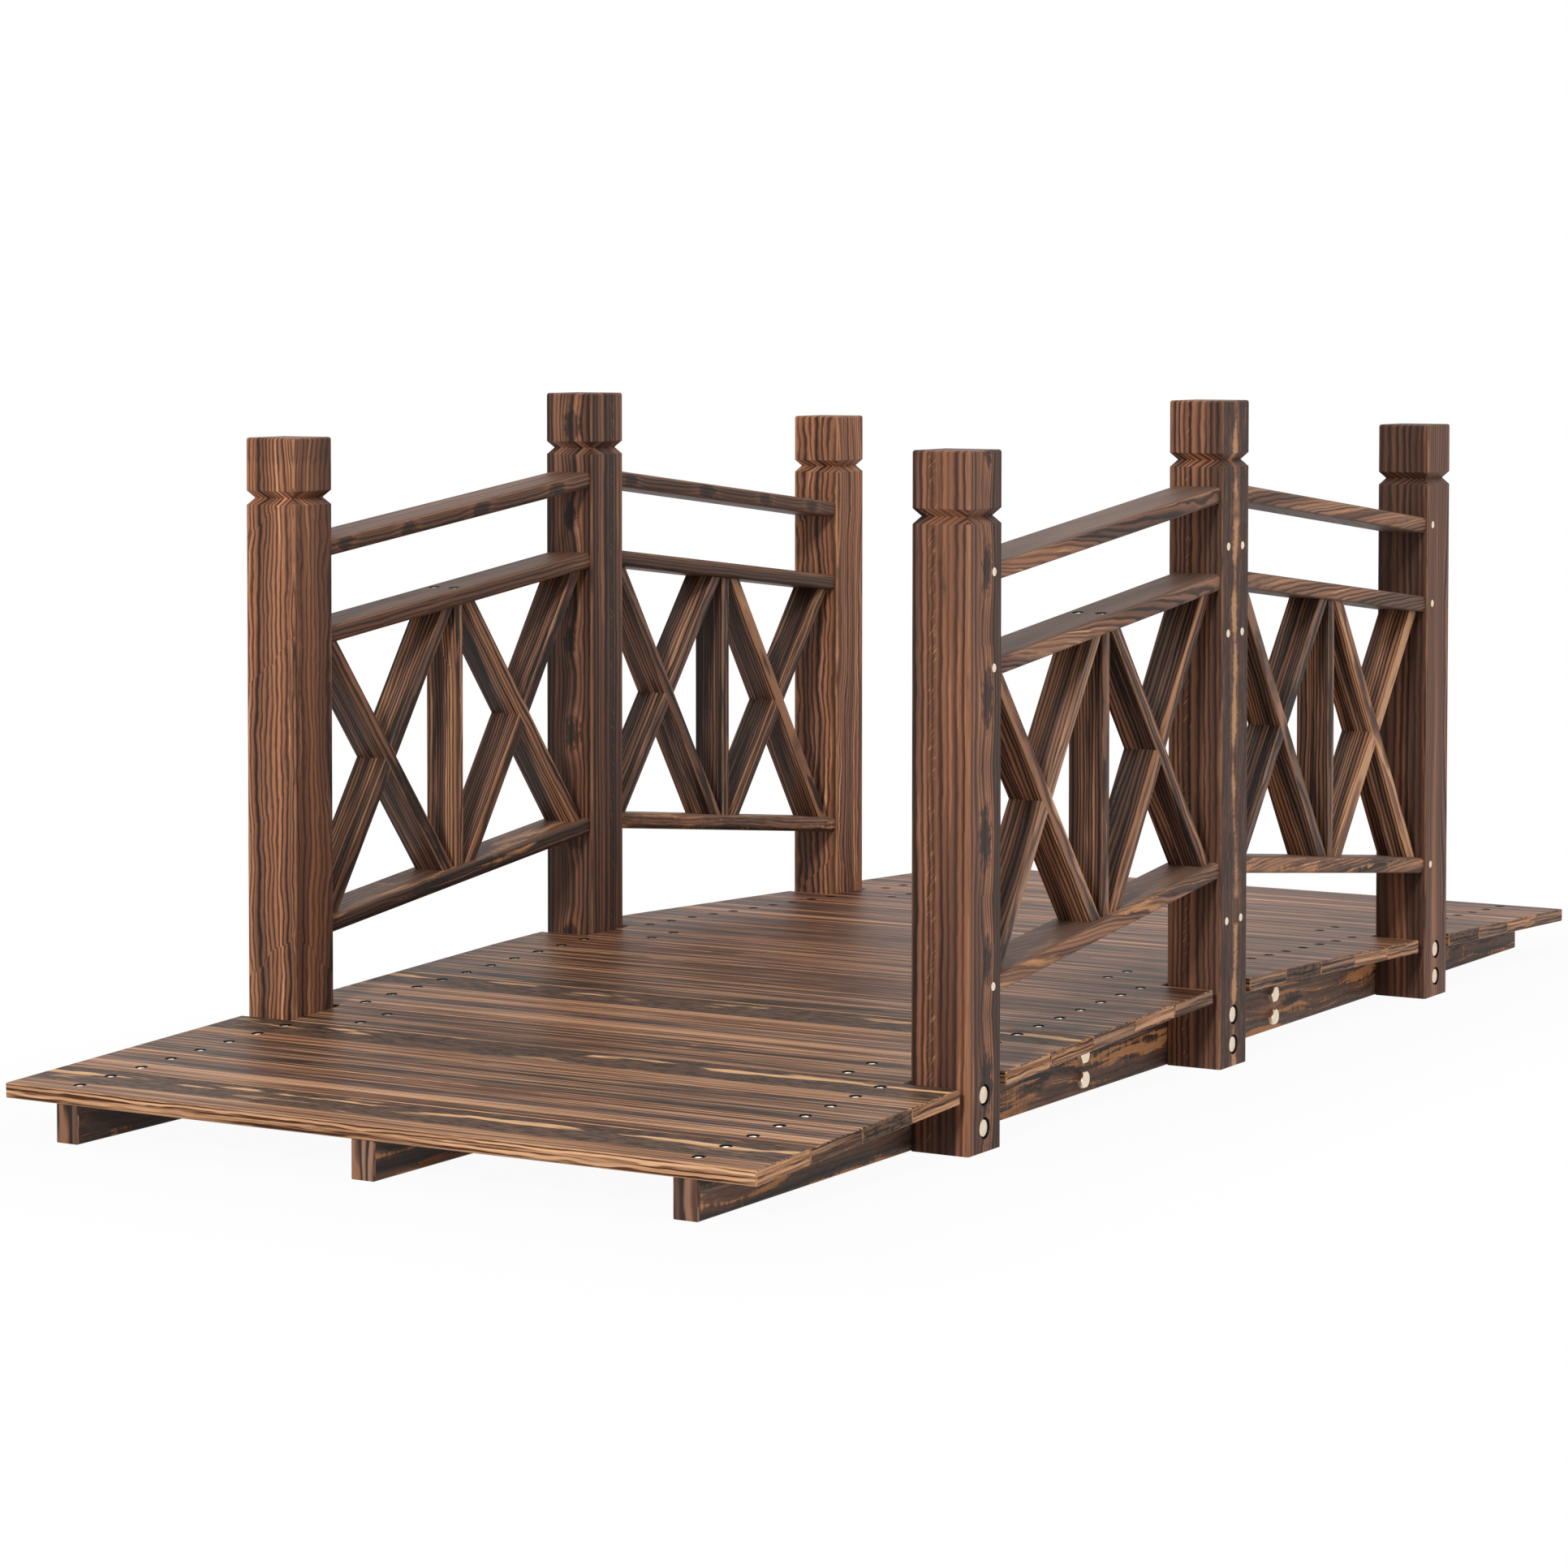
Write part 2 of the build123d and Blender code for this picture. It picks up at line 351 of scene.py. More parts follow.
def charredFace(s, look, board, run, mottle, dice):
    # the tone of a charred face and the pale flame on it. The flame's middle wanders, it breaks up,
    # and its edges are feathered across the grain.
    first, second, third = dice
    wander = s.noise(run / 120.0, 7.0, first * 9.0, 2.0)
    feather = s.noise(run / 3.5, board["lane"] / 9.0, third * 5.0, 3.0, 0.6)
    broad = s.smooth(s.noise(run / 52.0, 3.0, second * 9.0, 2.0), 0.36, 0.62)
    off = abs(board["lane"] - look["flameLane"] + (wander - 0.5) * 22.0)
    off = off + (feather - 0.5) * 9.0 - broad * 4.5
    lit = s.smooth(s.noise(run / 38.0, 5.0, third * 9.0, 2.0), 0.36, 0.50)
    blaze = s.smooth(off, 2.2, -2.0) * (feather * 0.7 + 0.5) * lit
    sooty = s.noise(run / 55.0, board["lane"] / 3.2, second * 5.0, 3.0, 0.6) - 0.5
    return (mottle - 0.5) * 0.6 + sooty * 0.9 + s.smooth(off, 9.0, 2.0) * 0.14 + 0.20, blaze


def greyed(s, look, tone, amount, colour):
    # weathered wood keeps its light and dark but loses its colour
    darkGrey, paleGrey = ([c * shade for c in look["grey"]] for shade in (0.42, 1.5))
    greyTone = s.mix(s.smooth(tone, 0.0, 0.95), srgb(*darkGrey), srgb(*paleGrey))
    return s.mix(amount, colour, greyTone)


def oiled(s, look, colour, roughness, height):
    # an oiled surface with the fine relief of its fibres and rings
    bump = s.node("ShaderNodeBump", None, {"Strength": look["bump"], "Distance": 0.0004, "Height": height})
    return s.finish({
        "Base Color": colour, "Roughness": roughness, "IOR": 1.5, "Specular IOR Level": look["gloss"],
    }, bump)


# what a board has where its coordinates leave something out
plainBoard = {"edge": 0.0, "calm": 0.0, "pit": 0.0, "pale": 0.0, "lane": 0.0, "bare": 0.0, "cap": 0.0}


def woodMaterial(name, look, coordinates):
    # coordinates(shader) gives the place along the grain, the two places across it, a number for
    # the board, and masks: edge for its long corners, which get wear and a painted highlight, calm for
    # faces with little grain, pit for screw and bolt holes, which get painted shade, bare for faces with
    # plain strong lines, and cap for the top block of a post. pale is added to the tone, and lane is
    # the place across a face.
    look = {**woodLook, **look}
    s = Shader(bpy.data.materials.new(name))
    board = {**plainBoard, **coordinates(s)}
    wide, thick, lane = board["wide"], board["thick"], board["lane"]
    dice = s.split(s.dice(board["number"] + look["seed"]))
    first, second, third = dice
    run = board["along"] + first * 3000.0
    ragged = s.noise(run / 7.0, wide / 2.6, thick / 2.6, 4.0, 0.7)
    knots = sparseKnots if look["knotFace"] is None else rowOfKnots
    knot, halo, bend = knots(s, look, board, run, ragged, dice)

    def stray(kind, shift):
        width = look[kind + "Width"]
        return s.noise(run / look[kind + "Length"], wide / width, thick / width + shift)

    # depth in the tree: distance from its heart, wandering along the board
    drift = stray("drift", second * 40.0)
    ripple = stray("ripple", third * 60.0)
    angle = (second - 0.5) * look["ringSpread"] + look["ringAngle"]
    radius = (third * 0.8 + 0.6) * look["ringRadius"]
    depth = s.reach(wide - s.math("COSINE", angle) * radius, thick - s.math("SINE", angle) * radius)
    depth = depth + (drift - 0.5) * (2 * look["drift"]) + (ripple - 0.5) * (2 * look["ripple"])
    depth = depth + bend * look["swirl"]
    ringDepth = look["ringDepth"]
    arched = 0.0
    if look["archFace"] is not None:
        arched = s.faceAlong(look["archFace"])
        arch = s.noise(run / 250.0, lane / 44.0, second * 33.0, 1.0)
        depth = depth + arched * (arch - 0.5) * (2 * look["archDepth"])
        ringDepth = (1.0 - arched * look["archSoft"]) * ringDepth
    if look["faultDepth"]:
        slanted = (run + lane * 0.9 + ripple * 22.0) / 118.0
        fault = s.dice(s.math("FLOOR", slanted) + third * 9.0, "Value")
        depth = depth + (fault - 0.5) * look["faultDepth"]

    late = growthRings(s, look, run, depth, dice)
    zone = s.noise(run / look["zoneLength"], depth / look["zoneWidth"], second * 70.0, 1.0)
    zone = s.smooth(zone, 0.36, 0.64)
    scorch = s.noise(run / look["charLength"], depth / look["charWidth"], first * 80.0, 4.0, 0.62)
    scorch = s.smooth(scorch, look["charFrom"], look["charFrom"] + 0.10) * (1.0 - board["bare"])
    streak = s.noise(run / look["streakLength"], depth / look["streakWidth"], third * 30.0, 2.0, 0.5)
    streak = s.smooth(streak, look["streakFrom"], look["streakFrom"] + 0.10) * (scorch * 0.55 + 0.45)
    fibre = s.noise(run / 14.0, wide / 0.6, thick / 0.6, 2.0, 0.6)
    mottle = s.noise(run / 9.0, depth / 2.0, second * 11.0, 3.0, 0.6)

    tone = (zone - 0.5) * look["zoneDepth"] + (first - 0.5) * look["boardSpread"] + look["level"]
    tone = tone - (late - 0.28) * (board["bare"] * 0.5 + ringDepth) * (1.0 - scorch * 0.5)
    tone = tone - scorch * (look["charDepth"] + (mottle - 0.5) * 0.5)
    tone = tone - knot * look["knotDepth"] + halo * 0.12
    tone = tone + streak * look["streakDepth"] + (fibre - 0.5) * look["fibre"]
    if look["scrapeFace"] is not None:
        tone = tone + toolMarks(s, look, board, run, drift, dice)
    if look["flameFace"] is not None:
        charred, blaze = charredFace(s, look, board, run, mottle, dice)
        isFlame = s.faceAlong(look["flameFace"])
        tone = s.blend(isFlame, tone, charred)
        scorch = s.math("MAXIMUM", scorch, isFlame)
    tone = s.blend(board["calm"] * 0.65, tone, 0.5) + board["pale"] + arched * look["archPale"]
    tone = tone - board["bare"] * 0.16 + board["cap"] * look["capPale"]

    places = (0.0, 0.25, 0.5, 0.75, 1.0)
    stops = [(place, srgb(*colour)) for place, colour in zip(places, look["colours"])]
    colour = s.node("ShaderNodeValToRGB", {"stops": stops}, {"Fac": tone})
    weathered = s.noise(run / 500.0, depth / look["greyWidth"], third * 20.0 + 5.0, 2.0, 0.5)
    weathered = s.smooth(weathered, 0.48, 0.62) * look["greyDepth"] + scorch * (look["greyDepth"] * 0.5)
    colour = greyed(s, look, tone, weathered, colour)
    if look["flameFace"] is not None:
        colour = s.mix(isFlame * blaze, colour, srgb(*look["blaze"]))
    if look["flamesFrom"] is not None:
        colour = flames(s, colour, scorch, run, depth, third, look)
    colour = s.mix(board["calm"] * 0.5, colour, srgb(*look["calmColour"]))
    # the long corners get a pale tint: partly wear, partly a painted highlight of the eased corners
    # catching the light
    wearAndHighlight = s.smooth(s.noise(run / 60.0, wide / 4.0, thick / 4.0, 3.0, 0.6), 0.36, 0.60)
    colour = s.mix(board["edge"] * wearAndHighlight * look["edgeDepth"], colour, srgb(*look["edge"]))
    # painted shade: near black inside the screw, bolt and pin recesses
    colour = s.mix(board["pit"], colour, srgb(*look["hole"]))

    roughness = (fibre - 0.5) * 0.14 + late * 0.05 + scorch * 0.04 + look["roughness"]
    return oiled(s, look, colour, roughness, fibre * 0.5 - late * 0.5)


def boxEdge(s, wide, thick, halfWide, halfThick, size):
    # 1 where both places across the grain are near their limits
    nearWide = s.smooth(abs(wide), halfWide - size, halfWide - 0.2 * size)
    nearThick = s.smooth(abs(thick), halfThick - size, halfThick - 0.2 * size)
    return nearWide * nearThick


def plankPlace(s):
    # the board's number is the count of pitches from the near end. On its ends and its long narrow
    # faces the pattern is turned, so that the grain lines follow the length of the face.
    x, y, z = s.place()
    pitch, halfThick = bridge["plankPitch"], bridge["plankThickness"] / 2
    count = (x + halfLength) / pitch
    number = s.math("FLOOR", count)
    wide = (count - number - 0.5) * pitch
    slope = (halfLength - abs(x)) * bridge["seatGrade"] + bridge["seatAtEnd"]
    thick = z - s.math("MINIMUM", slope, bridge["seatAtCrown"]) - halfThick
    seam = s.smooth(number, 6.0, 11.0) * 0.9 + 1.2  # the pale seam, wear and a painted highlight, is wider on the far boards
    firstShort, secondShort = bridge["shortPlanks"][:2]
    between = secondShort - firstShort
    isShort = s.math("LESS_THAN", s.math("MODULO", number + (between + 1 - firstShort), between), 0.5)
    reach = isShort * (bridge["shortHalfWidth"] - bridge["deckHalfWidth"])
    reach = reach + (bridge["deckHalfWidth"] - bridge["screwMargin"])
    # painted shade inside the screw recesses, cut off below the recess's floor
    pit = s.dent(abs(wide) - bridge["screwRows"], abs(y) - reach, bridge["screwHole"])
    isEnd, isSide = s.faceAlong(1), s.faceAlong(0)
    turned = s.math("MAXIMUM", isEnd, isSide)
    return {
        "along": s.blend(isEnd, y, wide * 1.5),
        "wide": s.blend(turned, wide, thick),
        "thick": thick * (1.0 - turned),
        "number": number + isEnd * 31.0 + isSide * 57.0,
        "edge": boxEdge(s, wide, thick, pitch / 2, halfThick, seam),
        "pit": pit * s.smooth(thick, bridge["screwHoleFloor"], bridge["screwHoleFloor"] + 0.8),
        "isEnd": isEnd,
        "isSide": isSide,
        "place": (number + 0.5) / bridge["planks"],
    }


def postPlace(s):
    x, y, z = s.place()
    bay, side = s.math("ROUND", x / bridge["postX"]), s.math("SIGN", y)
    wide = x - bay * bridge["postX"]
    thick = y - side * bridge["postY"]
    lower, upper = bridge["boltHeights"]
    # painted shade inside the bolt and pin recesses
    pit = s.dent(wide, abs(z - (lower + upper) / 2) - (upper - lower) / 2, bridge["boltHole"])
    for level in bridge["railLevels"]:
        pin = s.dent(abs(wide) - bridge["pinOffset"], z - level, bridge["pinHole"])
        pit = s.math("MAXIMUM", pit, pin)
    holeFloor = bridge["postHalfY"] - bridge["postHoleDepth"]
    pit = pit * s.smooth(side * thick, holeFloor, holeFloor + 1.0)
    # an end post has pins only on its bay's side. Bolts are the holes below them.
    isBaySide, isBolt = s.math("LESS_THAN", bay * wide, 0.5), s.math("LESS_THAN", z, 100.0)
    return {
        "along": z,
        "wide": wide,
        "thick": thick,
        "number": bay * 2.0 + side * 7.0,
        "edge": boxEdge(s, wide, thick, bridge["postHalfX"], bridge["postHalfY"], 2.2),
        "pit": pit * s.math("MAXIMUM", isBaySide, isBolt),
        "lane": s.blend(s.faceAlong(0), wide, thick),
        "cap": s.smooth(z, bridge["capFrom"], bridge["capFrom"] + 6.0),
    }


def railPlace(s):
    # heights are taken along the slope of each bay, so the boards come out level. The grain of the
    # right rails runs level, across their slope.
    x, y, z = s.place()
    bay, side = s.math("SIGN", x), s.math("SIGN", y)
    rise = (bayOuter - abs(x)) * railGrade
    level = z - rise
    top, second, bottom = bridge["railLevels"]
    isUpper = s.math("GREATER_THAN", level, (second + bottom) / 2)
    isTop = s.math("GREATER_THAN", level, (top + second) / 2)
    thick = level - bottom - isUpper * (second - bottom) - isTop * (top - second)
    wide = y - side * bridge["postY"]
    # painted shade inside the rail screws' recesses
    screws = s.dent(abs(wide) - bridge["railScrews"], abs(x) - bayMiddle, bridge["railScrewHole"])
    screws = screws * s.smooth(thick, bridge["railScrewHoleFloor"], bridge["railScrewHoleFloor"] + 0.8)
    isRight = s.math("LESS_THAN", side, 0.0)
    isFar = s.math("GREATER_THAN", bay, 0.0)
    onTop = s.faceAlong(2)
    sidePale = isRight * 0.20 - 0.15 + isFar * (1.0 - isRight) * 0.12
    return {
        "along": x,
        "wide": wide,
        "thick": thick + isRight * rise * 1.3,
        "lane": thick,
        "number": bay + side * 3.0 + isUpper * 11.0 + isTop * 17.0,
        "edge": boxEdge(s, wide, thick, bridge["railHalfWidth"], bridge["railHalfThick"], 2.4),
        "calm": onTop * (isRight * 0.45 + 0.5),
        "pit": screws * (isUpper - isTop),
        "pale": (1.0 - onTop) * sidePale + 0.03,
    }


def latticePlace(s):
    # which bar a point is on: the picket is within its half width of the bay's middle, the long
    # board of a cross within its half width of the falling diagonal, the rest is the other board
    x, y, z = s.place()
    bay, side, reach = s.math("SIGN", x), s.math("SIGN", y), abs(x)
    isOuter = s.math("GREATER_THAN", reach, bayMiddle)
    halfPicket = bridge["halfPicket"]
    halfCell = (bayOuter - bayInner) / 4 - halfPicket / 2
    centre = isOuter * (bayOuter - halfCell) + (1.0 - isOuter) * (bayInner + halfCell)
    second, bottom = bridge["railLevels"][1:]
    across = x - bay * centre
    up = z - (bayOuter - centre) * railGrade - (second + bottom) / 2
    reachX = halfCell - bridge["crossInset"]
    reachZ = (second - bottom) / 2 - bridge["railHalfThick"] / math.cos(railLean)
    fallZ = -reachZ - bay * (railGrade * reachX)
    riseZ = reachZ - bay * (railGrade * reachX)
    fallLong, riseLong = s.reach(reachX, fallZ), s.reach(reachX, riseZ)
    fallOff = (across * fallZ - up * reachX) / fallLong
    riseOff = (across * riseZ - up * reachX) / riseLong
    isFall = s.math("LESS_THAN", abs(fallOff), bridge["halfBar"] + 0.15)
    isPicket = s.math("LESS_THAN", abs(reach - bayMiddle), halfPicket + 0.02)
    fallRun = (across * reachX + up * fallZ) / fallLong
    riseRun = (across * reachX + up * riseZ) / riseLong
    wide = y - side * bridge["postY"]
    thick = s.blend(isPicket, s.blend(isFall, riseOff, fallOff), reach - bayMiddle)
    return {
        "along": s.blend(isPicket, s.blend(isFall, riseRun, fallRun), z),
        "wide": wide,
        "thick": thick,
        "number": bay * 3.0 + side * 5.0 + isOuter * 13.0 + isFall * 29.0 + isPicket * 53.0,
        "edge": boxEdge(s, wide, thick, bridge["barHalfDepth"], bridge["halfBar"], 1.5),
        "pale": s.faceAlong(1) * 0.08,
    }


def stringerPlace(s):
    # the grain of the ends stands upright, and they aren't scorched
    x, y, z = s.place()
    middle = bridge["stringerFace"] - bridge["stringerHalf"]
    side = s.math("ROUND", y / middle)
    wide, height = y - side * middle, z - 20.0
    isEnd = s.faceAlong(0)
    return {
        "along": s.blend(isEnd, x, z),
        "wide": wide,
        "thick": s.blend(isEnd, height, 0.0),
        "number": side * 3.0 + s.math("SIGN", x) + isEnd * 41.0,
        "lane": height - 2.0,
        "bare": isEnd,
        "edge": boxEdge(s, wide, height, bridge["stringerHalf"], 30.0, 1.5),
    }


def bracePlace(s):
    x, y, z = s.place()
    bay = s.math("ROUND", x / bridge["postX"])
    number = bay * 5.0 + s.math("SIGN", y)
    return {"along": y, "wide": x - bay * braceX, "thick": z - 30.0, "number": number}


# Deck boards: zones of scorched, brown, tan and greyed wood across each board. Each zone gives the
# place of a colour, as a share of the board's width, and 1 where the wood is scorched.
deckLook = {
    "seed": 5.7,
    "wander": 3.0,           # how far the zones stray, in millimetres
    "linePitch": 2.9,        # fine dark lines. The end values are for the ends and the narrow faces.
    "lineDepth": 1.7,
    "endPitch": 4.4,
    "endDepth": 2.9,
    "lineColour": (106, 86, 74),
    "stripeWidth": 4.6,      # stripes, broader on the far boards
    "farStripeWidth": 8.5,
    "stripeDepth": 0.90,
    "stripeColour": (136, 116, 106),
    "streak": (216, 168, 130),
    "soot": (38, 28, 22),    # patches in scorched wood
    "ash": (132, 102, 82),
    "blaze": (252, 198, 146),
    "flameLength": 80.0,
    "flameWidth": 11.0,
    "flamesFrom": 0.60,
    "flameLane": 0.77,       # as a share of the board's width
    "comb": 0.0,
    "knots": False,
    "knotLane": 0.68,
    "knotColour": (66, 52, 43),
    "fibreColour": (176, 168, 162),
    "farColour": (246, 232, 226),
    "frontEdge": (250, 196, 150),
    # seam is the pale tint of the boards' long top corners: wear and a painted highlight
    "seam": (210, 160, 124),
    # hole is a painted shade, near black, inside the screw recesses
    "hole": (16, 11, 8),
    "roughness": 0.46,
    "gloss": 0.115,
    "bump": 0.25,
}
deckBoards = {
    "scorched": {"zones": (
        (0.00, (176, 128, 96), 0), (0.10, (160, 112, 84), 0), (0.19, (204, 152, 112), 0),
        (0.31, (188, 138, 102), 0), (0.335, (66, 46, 36), 0), (0.365, (104, 80, 66), 1),
        (0.62, (100, 77, 64), 1), (0.93, (96, 73, 60), 1), (1.00, (74, 55, 44), 1),
    )},
    "banded": {"zones": (
        (0.00, (118, 82, 64), 0), (0.14, (150, 103, 76), 0), (0.17, (120, 82, 62), 0),
        (0.22, (210, 156, 116), 0), (0.28, (252, 198, 152), 0), (0.39, (226, 173, 134), 0),
        (0.46, (150, 114, 98), 0), (0.55, (104, 80, 76), 0), (0.66, (102, 77, 70), 0),
        (0.71, (160, 118, 94), 0), (0.88, (150, 104, 77), 0), (0.96, (204, 150, 114), 0),
    )},
    "greyed": {"zones": (
        (0.00, (160, 114, 84), 0), (0.06, (110, 78, 62), 0), (0.12, (84, 64, 55), 0),
        (0.36, (82, 64, 55), 0), (0.42, (138, 102, 82), 0), (0.56, (134, 95, 72), 0),
        (0.64, (108, 76, 60), 0), (0.80, (116, 88, 74), 0), (0.90, (100, 71, 58), 0),
        (1.00, (112, 80, 62), 0),
    )},
    "lined": {"linePitch": 3.4, "knots": True, "zones": (
        (0.00, (104, 80, 67), 0), (0.20, (104, 74, 59), 0), (0.40, (138, 97, 73), 0),
        (0.56, (132, 92, 70), 0), (0.66, (106, 72, 54), 0), (0.85, (126, 87, 66), 0),
        (1.00, (122, 84, 62), 0),
    )},
    "ruddy": {"zones": (
        (0.00, (110, 76, 58), 0), (0.20, (134, 92, 69), 0), (0.42, (104, 75, 60), 0),
        (0.62, (128, 88, 66), 0), (0.90, (110, 76, 58), 0), (0.95, (206, 156, 120), 0),
        (0.99, (92, 65, 51), 0),
    )},
}
# each board's kind from the near end, by its first letter, and the look of its ends: striped,
# brown, charred or dull
boardKinds = "sbgslbsgrlrlrbgblbgbr"
boardEnds = "sbcscssbsbcdcdssbcdsb"
endLooks = {"s": (226, 168, 122), "b": (130, 94, 72), "c": (104, 80, 64), "d": (142, 107, 88)}


def fineLines(s, look, board, run, across, turned, dice):
    # dark lines, each with its own strength, that come and go along the board
    first, second, third = dice
    wave = s.noise(run / 42.0, board["wide"] / 14.0, second * 21.0, 2.0) * (turned * 0.9 + 0.5)
    spacing = s.noise(across / 9.0, first * 5.0, 0.5) * 2.0
    lines = across / s.blend(turned, look["linePitch"], look["endPitch"]) + wave + spacing
    line = s.math("FLOOR", lines)
    part = lines - line
    comes = s.smooth(s.noise(run / 160.0, line * 0.61, third * 33.0), 0.34, 0.56)
    late = s.smooth(part, 0.35, 0.75) * s.smooth(part, 1.0, 0.82)
    strength = s.dice(line * 0.37 + first * 19.0, "Value") * 0.8 + 0.2
    return late * strength * (comes * 0.6 + 0.4)


def softKnots(s, look, run, across, share, third):
    # a loose row of knots
    off = share - look["knotLane"]
    place = s.vector(run / 62.0, off * 2.2 + 0.5, third * 50.0)
    cell = s.node("ShaderNodeTexVoronoi", None, {"Vector": place, "Scale": 1.0}, "Distance")
    ragged = s.noise(run / 9.0, across / 3.0, 0.0, 4.0, 0.65)
    return s.smooth(cell + (ragged - 0.5) * 0.6, 0.42, 0.16) * s.smooth(abs(off), 0.22, 0.12)


def deckMaterial(name, look):
    look = {**deckLook, **look}
    s = Shader(bpy.data.materials.new(name))
    board = plankPlace(s)
    isEnd, isSide = board["isEnd"], board["isSide"]
    turned = isEnd + isSide
    dice = s.split(s.dice(board["number"] + look["seed"]))
    first, second, third = dice
    run = board["along"] + first * 3000.0
    strayed = s.noise(run / 240.0, board["wide"] / 50.0, second * 40.0, 2.0) - 0.5
    across = board["wide"] + strayed * (2 * look["wander"])
    rough = s.noise(run / 45.0, board["wide"] / 2.6, first * 31.0, 3.0, 0.6) - 0.5
    share = across / bridge["plankPitch"] + 0.5

    # the zones, and on the ends and narrow faces a colour of their own. A ramp's alpha is 1 where
    # the wood is scorched.
    stops = [(place, srgb(*colour)[:3] + (float(isCharred),)) for place, colour, isCharred in look["zones"]]
    colour = s.node("ShaderNodeValToRGB", {"stops": stops}, {"Fac": share + rough * 0.075})
    scorch = s.other(colour, "Alpha")
    stops = [(n / bridge["planks"], srgb(*endLooks[kind])[:3] + (float(kind == "c"),))
             for n, kind in enumerate(boardEnds)]
    endColour = s.node("ShaderNodeValToRGB", {"stops": stops, "stepped": True}, {"Fac": board["place"]})
    colour = s.mix(isEnd, colour, endColour)
    colour = s.mix(isSide, colour, srgb(*look["frontEdge"]))
    scorch = s.blend(isEnd, scorch, s.other(endColour, "Alpha")) * (1.0 - isSide)
    plain = 1.0 - scorch

    late = fineLines(s, look, board, run, across, turned, dice)
    late = late * (1.0 - scorch * 0.4) * s.blend(turned, look["lineDepth"], look["endDepth"])
    colour = s.mix(late, colour, srgb(*look["lineColour"]), "MULTIPLY")

    # stripes of middle width, light and dark
    isFar = s.smooth(board["place"], 0.30, 0.55) * (1.0 - turned)
    stripeWidth = s.blend(isFar, look["stripeWidth"], look["farStripeWidth"])
    stripe = s.smooth(s.noise(run / 420.0, across / stripeWidth, second * 61.0, 2.0, 0.6), 0.36, 0.64)
    dark = (1.0 - stripe) * plain * look["stripeDepth"]
    colour = s.mix(dark, colour, srgb(*look["stripeColour"]), "MULTIPLY")
    colour = s.mix(s.smooth(stripe, 0.6, 1.0) * plain * 0.46, colour, srgb(*look["streak"]))

    # scorched wood is mottled and has flames in it. The rest has thin pale streaks.
    mottle = s.noise(run / 14.0, across / 3.0, second * 11.0, 3.0, 0.62)
    colour = s.mix(s.smooth(mottle, 0.50, 0.38) * scorch * 0.9, colour, srgb(*look["soot"]))
    colour = s.mix(s.smooth(mottle, 0.54, 0.68) * scorch * 0.6, colour, srgb(*look["ash"]))
    lane = s.smooth(abs(share - look["flameLane"]), 0.16, 0.03)
    inFlames = scorch * (1.0 - turned * 0.6) * (lane * 0.6 + 0.4)
    colour = flames(s, colour, inFlames, run, across, third, look, lane)
    streak = s.smooth(s.noise(run / 130.0, across / 1.5, first * 44.0, 3.0, 0.6), 0.53, 0.66) * plain
    colour = s.mix(streak * (isFar * 0.2 + 0.6), colour, srgb(*look["streak"]))

    if look["knots"]:
        knot = softKnots(s, look, run, across, share, third) * 0.75 * (1.0 - turned)
        colour = s.mix(knot, colour, srgb(*look["knotColour"]))
    fibre = s.noise(run / 14.0, board["wide"] / 0.6, board["thick"] / 0.6, 2.0, 0.6)
    colour = s.mix(s.smooth(fibre, 0.35, 0.65) * 0.28, colour, srgb(*look["fibreColour"]), "MULTIPLY")
    colour = s.mix(isFar, colour, srgb(*look["farColour"]), "MULTIPLY")
    # the long top corners get a pale seam tint: wear and a painted highlight of the eased corners
    wearAndHighlight = s.smooth(s.noise(run / 90.0, 3.0, third * 70.0, 2.0), 0.40, 0.55)
    colour = s.mix(board["edge"] * wearAndHighlight * (1.0 - turned) * 0.9, colour, srgb(*look["seam"]))
    # painted shade: near black inside the screw recesses
    colour = s.mix(board["pit"], colour, srgb(*look["hole"]))

    roughness = (fibre - 0.5) * 0.14 + scorch * 0.08 + look["roughness"]
    return oiled(s, look, colour, roughness, fibre * 0.5 - late * 0.5)


lineGrain = {
    "ringPitch": 3.6, "ringRadius": 260.0, "ringDepth": 0.60, "ringEven": 0.6, "drift": 8.0,
    "driftLength": 150.0, "driftWidth": 60.0, "ripple": 1.7, "rippleLength": 20.0, "rippleWidth": 11.0,
    "zoneWidth": 9.0, "zoneDepth": 0.34, "knotShare": 0.0, "charDepth": 0.10, "charFrom": 0.60,
    "level": 0.44, "ringSpread": 0.4, "greyDepth": 0.05, "streakDepth": 0.32, "streakFrom": 0.58,
    "boardSpread": 0.0, "faultDepth": 2.4, "edge": (206, 150, 106),
    "colours": ((34, 22, 16), (72, 45, 33), (122, 80, 58), (172, 116, 82), (226, 168, 122)),
}
straightGrain = {
    **lineGrain, "ringPitch": 3.4, "ripple": 0.8, "drift": 2.5, "driftLength": 260.0, "ringDepth": 0.52,
    "seed": 8.3, "ringEven": 0.3, "level": 0.34, "greyDepth": 0.12, "zoneWidth": 12.0,
    "faultDepth": 0.0, "edge": (188, 138, 98),
}
railGrain = {
    "ringPitch": 2.9, "ringDepth": 0.54, "ringEven": 0.3, "ringAngle": 1.3, "ringSpread": 0.3,
    "drift": 4.0, "driftLength": 120.0, "driftWidth": 60.0, "ripple": 1.2, "rippleLength": 30.0,
    "rippleWidth": 12.0, "zoneWidth": 10.0, "knotShare": 0.0, "edgeDepth": 0.30, "level": 0.38,
    "calmColour": (92, 79, 72), "charDepth": 0.12, "greyDepth": 0.18,
}
calmRail = {
    **railGrain, "calmColour": (98, 77, 67), "level": 0.365, "ringDepth": 0.34, "ripple": 0.6,
    "drift": 2.5, "boardSpread": 0.0, "zoneDepth": 0.22, "edgeDepth": 0.55,
}
woods = {kind: deckMaterial("deck oiled fir, " + kind, look) for kind, look in deckBoards.items()}
